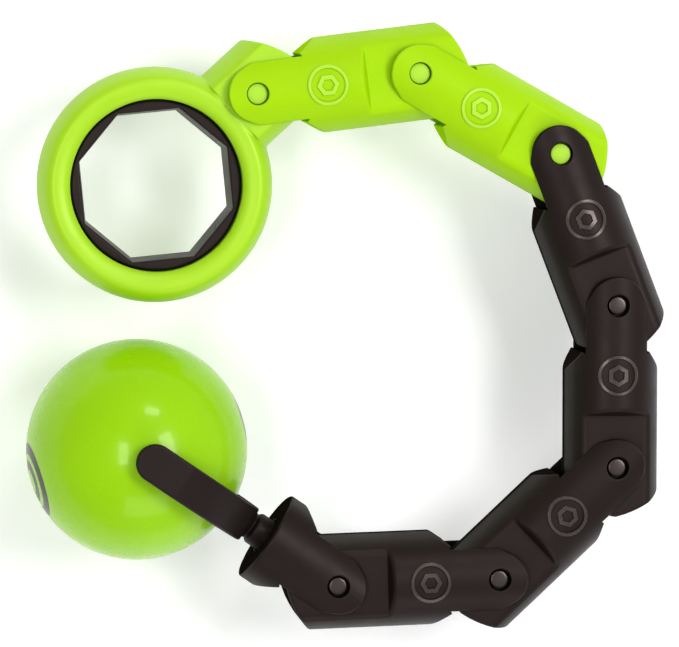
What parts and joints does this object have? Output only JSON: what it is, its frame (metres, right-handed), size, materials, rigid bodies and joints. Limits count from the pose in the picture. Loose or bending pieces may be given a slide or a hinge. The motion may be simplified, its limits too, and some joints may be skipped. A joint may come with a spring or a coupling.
{
  "type": "hinge chain hand toy",
  "caption": "Posable chain of round hinged links with a ring and turning octagon liner at one end and a ball in a swivelling yoke at the other.",
  "frame": {"origin": "centre of the bounding box in the rest pose, on the plane that every link lies in", "axes": "+X and +Y lie in the chain's plane, with the ring and the ball at -X and the ring above the ball; +Z is parallel to every hinge pin, towards the front"},
  "size_m": [0.1738, 0.165, 0.0686],
  "materials": {
    "green_plastic": "satin moulded lime-green plastic",
    "black_plastic": "satin moulded black plastic",
    "ball_paint": "glossy lime-green lacquer",
    "axle_steel": "plain steel"
  },
  "bodies": {
    "ring": {"ring_front_shell": "green_plastic", "ring_back_shell": "green_plastic", "hinge_pin_1": "green_plastic"},
    "liner": {"ring_liner": "black_plastic"},
    "link_1": {"link_1_front_shell": "green_plastic", "link_1_back_shell": "green_plastic", "hinge_pin_2": "green_plastic"},
    "link_2": {"link_2_front_shell": "green_plastic", "link_2_back_shell": "green_plastic", "hinge_pin_3": "green_plastic"},
    "link_3": {"link_3_front_shell": "black_plastic", "link_3_back_shell": "black_plastic", "hinge_pin_4": "black_plastic"},
    "link_4": {"link_4_front_shell": "black_plastic", "link_4_back_shell": "black_plastic", "hinge_pin_5": "black_plastic"},
    "link_5": {"link_5_front_shell": "black_plastic", "link_5_back_shell": "black_plastic", "hinge_pin_6": "black_plastic"},
    "link_6": {"link_6_front_shell": "black_plastic", "link_6_back_shell": "black_plastic", "hinge_pin_7": "black_plastic"},
    "cup": {"swivel_cup_left": "black_plastic", "swivel_cup_right": "black_plastic"},
    "yoke": {"swivel_yoke": "black_plastic"},
    "ball": {"ball_front_half": "ball_paint", "ball_back_half": "ball_paint", "ball_axle": "axle_steel"}
  },
  "joints": [
    {"name": "liner_spin", "type": "hinge", "parent": "ring", "child": "liner", "pos_m": [-0.05216, 0.03892, 0], "axis": [0, 0, 1], "continuous": true},
    {"name": "hinge_1", "type": "hinge", "parent": "ring", "child": "link_1", "pos_m": [-0.02543, 0.06341, 0], "axis": [0, 0, 1], "range_deg": [-38, 115.5]},
    {"name": "hinge_2", "type": "hinge", "parent": "link_1", "child": "link_2", "pos_m": [0.01824, 0.06877, 0], "axis": [0, 0, -1], "range_deg": [-116.5, 8]},
    {"name": "hinge_3", "type": "hinge", "parent": "link_2", "child": "link_3", "pos_m": [0.05653, 0.04711, 0], "axis": [0, 0, 1], "range_deg": [-4.5, 119.5]},
    {"name": "hinge_4", "type": "hinge", "parent": "link_3", "child": "link_4", "pos_m": [0.0723, 0.00603, 0], "axis": [0, 0, -1], "range_deg": [-101, 4]},
    {"name": "hinge_5", "type": "hinge", "parent": "link_4", "child": "link_5", "pos_m": [0.0723, -0.03797, 0], "axis": [0, 0, 1], "range_deg": [-3.5, 127]},
    {"name": "hinge_6", "type": "hinge", "parent": "link_5", "child": "link_6", "pos_m": [0.04012, -0.06798, 0], "axis": [0, 0, -1], "range_deg": [-121.5, 5]},
    {"name": "hinge_7", "type": "hinge", "parent": "link_6", "child": "cup", "pos_m": [-0.00386, -0.06913, 0], "axis": [0, 0, 1], "range_deg": [-10, 116]},
    {"name": "yoke_swivel", "type": "hinge", "parent": "cup", "child": "yoke", "pos_m": [-0.02249, -0.05633, 0], "axis": [-0.8241, 0.5664, 0], "continuous": true},
    {"name": "ball_spin", "type": "hinge", "parent": "yoke", "child": "ball", "pos_m": [-0.05718, -0.03248, 0], "axis": [0.0178, 0.0259, 0.9995], "continuous": true}
  ]
}
